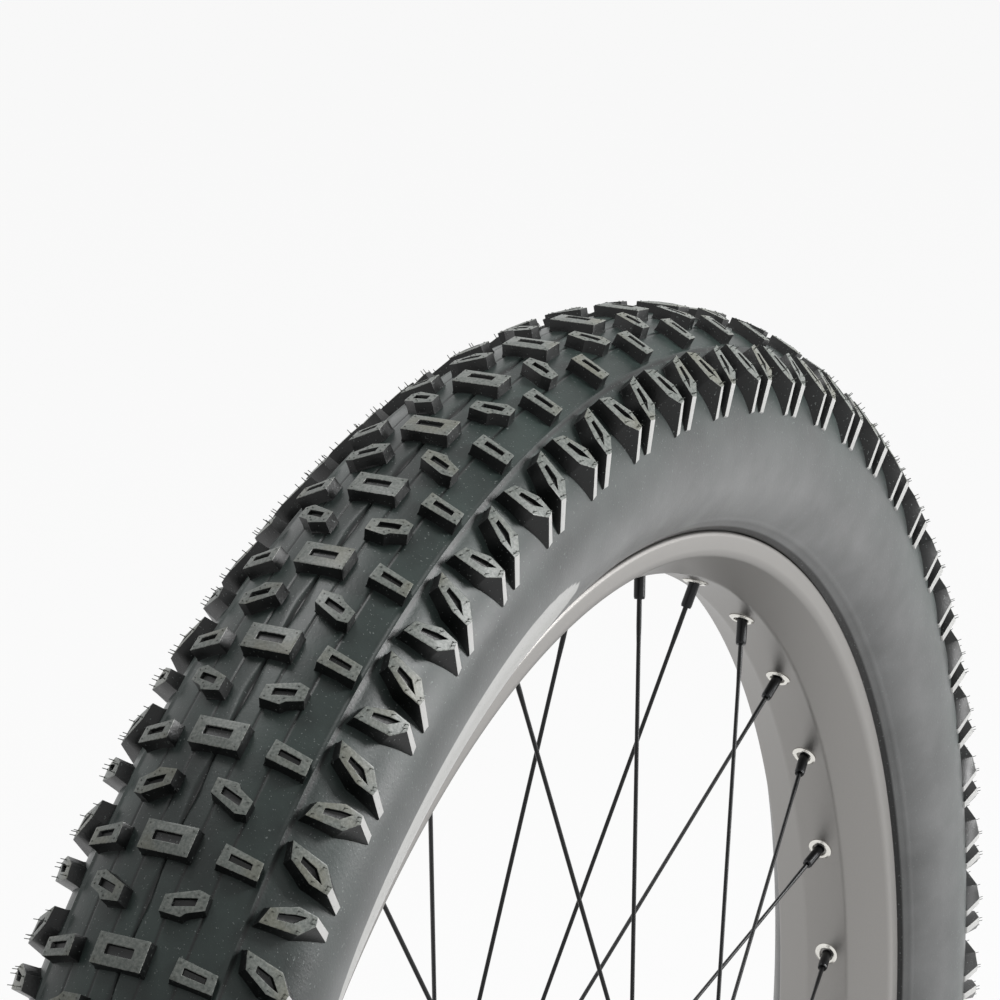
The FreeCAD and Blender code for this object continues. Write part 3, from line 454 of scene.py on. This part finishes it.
flat_points, flat_faces, flat_marks = [], [], []
for shapes in sector:
    points, faces, marks = block_mesh(*shapes)
    offset = sum(len(part) for part in flat_points)
    flat_points.append(points)
    flat_marks.append(marks)
    flat_faces += [[index + offset for index in face] for face in faces]
flat_points = np.vstack(flat_points)
print("blocks in two pitches:", len(sector), "with", len(flat_points), "points")

# %% [markdown]
# ## Grooves and label
# Narrow grooves follow the mould lines and the centre line, which widens between the centre blocks.
# A plain pale label, with rounded ends and nothing on it, lies on the plain side's sidewall.
# %% Marks on the casing
LABEL_TURN, LABEL_HALF_TURN = -27, 17
LABEL_RISE, LABEL_HALF_HEIGHT = 17, 9
GROOVE_DEPTH = 0.9
casing_across = np.abs(casing_points[:, 1]) / MM
casing_turn = np.arctan2(casing_points[:, 0], casing_points[:, 2]) - TREAD_PHASE
casing_radius = np.hypot(casing_points[:, 0], casing_points[:, 2]) / MM
on_tread = (casing_radius > ridge[1] - 1) & (casing_radius > side_centre[1])
between = 0.5 - 0.5 * np.cos(casing_turn * PITCHES)
centre_width = 0.4 + 0.9 * between**4
centre_groove = bump(casing_across, centre_width)
grooves = sum(bump(casing_across - at, 0.4) for at in MOULD_LINES) + centre_groove
grooves = np.clip(grooves + bump(casing_across - RIDGE_HALF_WIDTH - 0.9, 0.5), 0, 1) * on_tread
casing_points *= (1 - centre_groove * on_tread * GROOVE_DEPTH / tyre_radius)[:, None]

label_turn = np.degrees(np.arctan2(casing_points[:, 0], casing_points[:, 2]))
label_end = np.clip(1 - ((label_turn - LABEL_TURN) / LABEL_HALF_TURN) ** 4, 0, 1)
label_height = LABEL_HALF_HEIGHT * np.sqrt(label_end)
label = np.clip(0.5 + label_height - np.abs(casing_radius - flange_radius - LABEL_RISE), 0, 1)
label *= (casing_points[:, 1] < 0)
print("casing points in grooves:", int((grooves > 0.5).sum()), "under the label:", int((label > 0.5).sum()))

# %% [markdown]
# ## The whole tyre
# The casing and every repeat of the blocks make one piece, in the place of the CAD tyre. Its points
# and faces carry the marks that the rubber's colour is made from.
# %% The whole tyre
tyre_points, tyre_faces = [casing_points], casing_faces.tolist()
for repeat in range(PITCHES // 2):
    offset = sum(len(part) for part in tyre_points)
    tyre_points.append(on_tyre(flat_points, repeat * 2 * pitch_length))
    tyre_faces += [[index + offset for index in face] for face in flat_faces]
tyre = new_piece("tyre_moulded", np.vstack(tyre_points), tyre_faces)
blocks_start = len(casing_points)
everywhere = np.array([vertex.co for vertex in tyre.data.vertices])
no_marks = np.zeros(len(everywhere) - blocks_start)
reach = np.hypot(everywhere[:, 0], everywhere[:, 2]) / MM
POINT_MARKS = {
    "block": (np.arange(len(everywhere)) >= blocks_start).astype(float),
    "groove_shade": np.concatenate([grooves, no_marks]),
    "label": np.concatenate([label, no_marks]),
    "height": (reach - flange_radius) / (tyre_radius - flange_radius),
}
marks = np.vstack([np.zeros((len(casing_faces), 3))] + flat_marks * (PITCHES // 2))
FACE_MARKS = {name: marks[:, number] for number, name in enumerate(("worn", "edge", "facet_highlight"))}
for domain, fields in (("POINT", POINT_MARKS), ("FACE", FACE_MARKS)):
    for name, values in fields.items():
        attribute = tyre.data.attributes.new(name, "FLOAT", domain)
        attribute.data.foreach_set("value", values.astype(np.float32))
tyre.data.shade_smooth()
tyre.data.set_sharp_from_angle(angle=math.radians(35))
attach(tyre, "wheel")
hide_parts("tyre")
print("tyre:", len(tyre.data.vertices), "points,", len(tyre.data.polygons), "faces")

# %% [markdown]
# ## The rim
# A rim is one extrusion rolled into a hoop. The section here follows the CAD one closely and has
# rounded edges. It has no spoke holes, because the eyelets cover them.
# %% Rim section
BED_RADIUS = flange_radius - 17.2
rim_half = [(0, BED_RADIUS), (9.0, BED_RADIUS), (24.1, flange_radius - 8.8), (24.9, flange_radius - 6.9),
            (rim_half_width, flange_radius - 1.3), (rim_half_width - 0.4, flange_radius - 0.4),
            (rim_half_width - 1.2, flange_radius), (rim_half_width - 2.4, flange_radius),
            (rim_half_width - 3.2, flange_radius - 0.7), (rim_half_width - 3.2, flange_radius - 5.9),
            (16.5, flange_radius - 6.1), (13.7, flange_radius - 8.7), (0, flange_radius - 8.7)]
rim_hollow = [(0, BED_RADIUS + 1.8), (8.4, BED_RADIUS + 1.8), (20.4, flange_radius - 8.3),
              (20.4, flange_radius - 7.7), (16.9, flange_radius - 7.9), (14.3, flange_radius - 10.5),
              (0, flange_radius - 10.5)]


def closed(half_outline):
    """Both halves of a section that is drawn on one side."""
    return half_outline + [(-across, up) for across, up in half_outline[-2:0:-1]]


def rounded(outline, radius, steps=4):
    """Cut each corner of a closed outline with a short arc."""
    points = np.array(outline, float)
    made = []
    for number, corner in enumerate(points):
        before, after = points[number - 1] - corner, points[(number + 1) % len(points)] - corner
        reach = min(radius, np.linalg.norm(before) * 0.45, np.linalg.norm(after) * 0.45)
        start = corner + before / np.linalg.norm(before) * reach
        end = corner + after / np.linalg.norm(after) * reach
        for share in np.linspace(0, 1, steps + 1):
            made.append(start * (1 - share) ** 2 + corner * 2 * share * (1 - share) + end * share**2)
    return np.array(made)


print("rim bed radius", round(BED_RADIUS, 1), "mm")

# %% [markdown]
# ## Rolling the rim
# The outside and the hollow are swept as two skins of one piece, in the place of the CAD rim.
# %% Rim
outside, outside_faces = ring_mesh(rounded(closed(rim_half), 1.1), 720)
inside, inside_faces = ring_mesh(np.array(closed(rim_hollow)), 360)
rim = new_piece("rim_rolled", np.vstack([outside, inside]),
                outside_faces.tolist() + (inside_faces + len(outside)).tolist())
rim.data.shade_smooth()
rim.data.set_sharp_from_angle(angle=math.radians(40))
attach(rim, "wheel")
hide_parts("rim")
print("rim:", len(rim.data.vertices), "points")

# %% [markdown]
# ## Finishes
# One function adds a shader node with its settings and links, and every finish below is made with
# it. Colours are given as they look on screen and turned into linear light once.
# %% Material helpers
def linear(code):
    """A screen colour code as linear red, green, blue and alpha."""
    parts = [int(code[spot:spot + 2], 16) / 255 for spot in (1, 3, 5)]
    return (*[part / 12.92 if part <= 0.04045 else ((part + 0.055) / 1.055) ** 2.4 for part in parts], 1)


def add(tree, kind, settings=(), **inputs):
    """Add a node. Settings are its own options; inputs are values, or other nodes' outputs."""
    made = tree.nodes.new(kind)
    for name, value in dict(settings).items():
        setattr(made, name, value)
    for name, value in inputs.items():
        socket = made.inputs[int(name[1:])] if name[1:].isdigit() else made.inputs[name.replace("_", " ")]
        if isinstance(value, bpy.types.NodeSocket):
            tree.links.new(value, socket)
        else:
            socket.default_value = value
    return made


def finish(name, **inputs):
    """A named material with one Principled shader; returns the material, its tree and the shader."""
    material = bpy.data.materials.new(name)
    material.use_nodes = True
    tree = material.node_tree
    shader = tree.nodes["Principled BSDF"]
    for label, value in inputs.items():
        shader.inputs[label.replace("_", " ")].default_value = value
    return material, tree, shader


def link(tree, shader, **sources):
    for label, source in sources.items():
        tree.links.new(source, shader.inputs[label.replace("_", " ")])


def paint(material, *pieces):
    for piece in pieces:
        piece.data.materials.clear()
        piece.data.materials.append(material)


print("material helpers ready")

# %% [markdown]
# ## Node helpers
# Each of these adds one node to the tree that its first socket belongs to.
# %% Node helpers
def object_place(tree):
    return add(tree, "ShaderNodeTexCoord").outputs["Object"]


def painted(tree, name):
    """The marks of one name that a piece carries."""
    return add(tree, "ShaderNodeAttribute", {"attribute_name": name}).outputs["Fac"]


def noise(place, size_mm, detail=3.0, rough=0.55):
    return add(place.id_data, "ShaderNodeTexNoise", Vector=place, Scale=1000.0 / size_mm, Detail=detail,
               Roughness=rough).outputs["Fac"]


def mapped(value, low, high, start=0.0, end=1.0):
    return add(value.id_data, "ShaderNodeMapRange", _0=value, _1=low, _2=high, _3=start, _4=end).outputs[0]


def mixed(share, first, second):
    return add(share.id_data, "ShaderNodeMix", {"data_type": "RGBA"}, _0=share, _6=first,
               _7=second).outputs[2]


def times(first, second):
    return add(first.id_data, "ShaderNodeMath", {"operation": "MULTIPLY"}, _0=first, _1=second).outputs[0]


def relief(height, strength, distance):
    return add(height.id_data, "ShaderNodeBump", Height=height, Strength=strength,
               Distance=distance).outputs[0]


print("node helpers ready")

# %% [markdown]
# ## Rubber
# The blocks' walls are painted near black, a painted shade between the blocks; their tops are paler
# with dust and their edges paler still, partly wear and partly a painted highlight. The casing is dark
# between the blocks, its grooves are painted near black as painted shade, and a black band where it
# meets the rim is painted shade of that gap. It turns a lighter grey down the sidewall, a painted
# sheen, and the shoulder blocks' outer walls are painted light grey, a painted highlight. Fine pale
# specks lie over all of it.
# %% Tyre rubber
rubber, tree, shader = finish("carbon_black_tyre_rubber", IOR=1.5, Specular_IOR_Level=0.35)
place = object_place(tree)
block, groove_shade, label, height = (painted(tree, name) for name in POINT_MARKS)
worn, edge, facet_highlight = (painted(tree, name) for name in FACE_MARKS)
grain, fleck = noise(place, 0.9), noise(place, 0.8, 1.0)
cloud, smear = noise(place, 30, 4.0, 0.6), noise(place, 22)
casing_tone = mixed(mapped(cloud, 0.35, 0.65), linear("#1b2422"), linear("#313c39"))
# The sidewall's lighter grey, growing down the sidewall, is a painted sheen.
sheen_side_tone = mixed(mapped(smear, 0.3, 0.7), linear("#646565"), linear("#757676"))
casing_tone = mixed(mapped(height, 0.68, 0.24), casing_tone, sheen_side_tone)
casing_tone = mixed(mapped(label, 0.35, 0.65), casing_tone, linear("#b5b5b3"))
# A black band where the tyre meets the rim's flange: painted shade of the gap between them.
casing_tone = mixed(mapped(height, 0.032, 0.024), casing_tone, linear("#080808"))
# The grooves are painted near black: painted shade in them.
casing_tone = mixed(groove_shade, casing_tone, linear("#040505"))
# The blocks' walls are painted near black: painted shade between the blocks.
tone = mixed(block, casing_tone, linear("#0c0e0e"))
top_tone = mixed(mapped(grain, 0.35, 0.65), linear("#5f6561"), linear("#848883"))
top_tone = mixed(times(mapped(smear, 0.5, 0.62), 0.35), top_tone, linear("#77725c"))
tone = mixed(worn, tone, top_tone)
# The shoulder blocks' outer walls are painted pale: a painted highlight.
tone = mixed(facet_highlight, tone, linear("#bcbcba"))
# The tops' rounded edges are painted paler: partly wear, partly a painted highlight.
tone = mixed(times(edge, mapped(grain, 0.35, 0.6)), tone, linear("#b4b6b0"))
tone = mixed(times(mapped(fleck, 0.69, 0.75), 0.7), tone, linear("#7f8583"))
link(tree, shader, Base_Color=tone, Roughness=mapped(cloud, 0.3, 0.7, 0.30, 0.44),
     Normal=relief(grain, 0.25, 0.0002))
paint(rubber, tyre)
print("tyre rubber:", len(tree.nodes), "nodes")

# %% [markdown]
# ## The rim's metal
# The rim is satin anodised aluminium, warm grey, with the fine grain of a blasted surface.
# %% Rim metal
satin, tree, shader = finish("satin_anodised_aluminium", Metallic=1.0)
blast = noise(object_place(tree), 0.4, 2.0, 0.5)
link(tree, shader, Base_Color=mixed(blast, linear("#8e8c8a"), linear("#9d9b98")),
     Roughness=mapped(blast, 0.3, 0.7, 0.38, 0.48), Normal=relief(blast, 0.1, 0.00005))
paint(satin, rim)
print("rim metal:", len(tree.nodes), "nodes")

# %% [markdown]
# ## Other finishes
# The eyelets are polished steel, and the spokes, nipples and hub are black. Each finish is a colour,
# how metallic it is, its roughness and the pieces that wear it. A fine grain varies the roughness.
# %% Other finishes
def named(*words):
    """The pieces with any of these words in their names."""
    return [name for name in nodes if any(word in name for word in words)]


METAL_GRAIN = 1 / 1.8
FINISHES = {
    "polished_stainless_steel": ("#e2e0da", 1.0, 0.25, ["eyelets"]),
    "black_anodised_brass": ("#17181a", 0.5, 0.34, ["nipples"]),
    "black_oxide_steel_wire": ("#121314", 0.4, 0.32, named("spokes_")),
    "black_anodised_hub": ("#1c1d1f", 0.7, 0.36, ["hub_shell"]),
    "grey_anodised_axle": ("#45464a", 1.0, 0.35, ["axle", "end_cap_plain_side", "end_cap_rotor_side"]),
    "turned_brass": ("#c8a25a", 1.0, 0.3, ["valve_stem", "valve_core_body"]),
    "nickel_plate": ("#c4c1b8", 1.0, 0.2, ["valve_rim_nut", "valve_core_pin"]),
    "black_moulded_nylon": ("#141414", 0.0, 0.5, ["valve_cap"]),
    "ground_bearing_steel": ("#bdbdbf", 1.0, 0.18, named("bearing_inner_ring", "bearing_outer_ring",
                                                         "bearing_balls", "bearing_cage")),
    "nitrile_rubber": ("#1a1a1a", 0.0, 0.55, named("seal", "o_ring")
                       + ["inner_tube", "valve_core_gasket"]),
    "woven_rim_tape": ("#24262b", 0.0, 0.8, ["rim_tape"]),
}
for name, (colour, metallic, roughness, members) in FINISHES.items():
    material, tree, shader = finish(name, Base_Color=linear(colour), Metallic=metallic, Roughness=roughness)
    grain = noise(object_place(tree), METAL_GRAIN, 2.0, 0.5)
    link(tree, shader, Roughness=mapped(grain, 0.3, 0.7, roughness * 0.85, roughness * 1.15))
    for member in members:
        paint(material, nodes[member])
        nodes[member].data.shade_smooth()
        nodes[member].data.set_sharp_from_angle(angle=math.radians(35))
print("finishes:", len(FINISHES) + 2)

# %% [markdown]
# ## Floor
# A plain pale floor lies under the wheel. It looks white, also in the metal, and it keeps the
# wheel's shadow.
# %% Floor
FLOOR_GAP = 0.0005
GLOW_SHARE = 0.92
WHITE = (1, 1, 1, 1)


def background_sight(tree):
    """1 for the rays that show a background: camera, glossy and transmission rays."""
    sight = add(tree, "ShaderNodeLightPath").outputs
    seen = sight["Is Camera Ray"]
    for name in ("Is Glossy Ray", "Is Transmission Ray"):
        seen = add(tree, "ShaderNodeMath", {"operation": "MAXIMUM"}, _0=seen, _1=sight[name]).outputs[0]
    return seen


bpy.ops.mesh.primitive_plane_add(size=30, location=(0, 0, first_bounds[0].z - FLOOR_GAP))
floor = bpy.context.object
floor.name = "floor"
material, tree, shader = finish("pale_floor", Base_Color=linear("#f2f2f2"), Roughness=0.9)
glow = add(tree, "ShaderNodeEmission", Color=WHITE, Strength=1.0)
share = times(background_sight(tree), GLOW_SHARE)
blend = add(tree, "ShaderNodeMixShader", _0=share, _1=shader.outputs[0], _2=glow.outputs[0])
tree.links.new(blend.outputs[0], tree.nodes["Material Output"].inputs["Surface"])
paint(material, floor)
print("floor at", round(floor.location.z, 4), "m")

# %% [markdown]
# ## Lights
# Three soft lights: one high and one low on the plain side, and one overhead.
# %% Lights
def soft_light(name, spot, aim, width, power):
    light = bpy.data.lights.new(name, "AREA")
    light.shape = "RECTANGLE"
    light.size = light.size_y = width
    light.energy = power
    lamp = bpy.data.objects.new(name, light)
    lamp.location = spot
    lamp.rotation_mode = "QUATERNION"
    lamp.rotation_quaternion = (Vector(aim) - Vector(spot)).to_track_quat("-Z", "Y")
    bpy.context.scene.collection.objects.link(lamp)
    print(name, "light at", spot, "with", power, "W")


soft_light("key", (0.9, -1.7, 1.3), (0, 0, 0.2), 0.6, 36)
soft_light("side", (1.6, -2.2, 0.3), (0.1, 0, 0.2), 0.8, 26)
soft_light("top", (0.2, 0.7, 2.4), (0, 0, 0.2), 0.8, 18)

# %% [markdown]
# ## Surround
# The surround looks white, also in the metal, and lights the wheel faintly from all round.
# %% Surround
FILL_STRENGTH = 0.16
world = bpy.data.worlds.new("surround")
bpy.context.scene.world = world
world.use_nodes = True
tree = world.node_tree
strength = add(tree, "ShaderNodeMix", _0=background_sight(tree), _2=FILL_STRENGTH, _3=1.0).outputs[0]
background = tree.nodes["Background"]
tree.links.new(strength, background.inputs["Strength"])
background.inputs["Color"].default_value = WHITE
bpy.context.scene.view_settings.view_transform = "Standard"
print("surround ready")

print("size before", [list(corner) for corner in first_bounds])
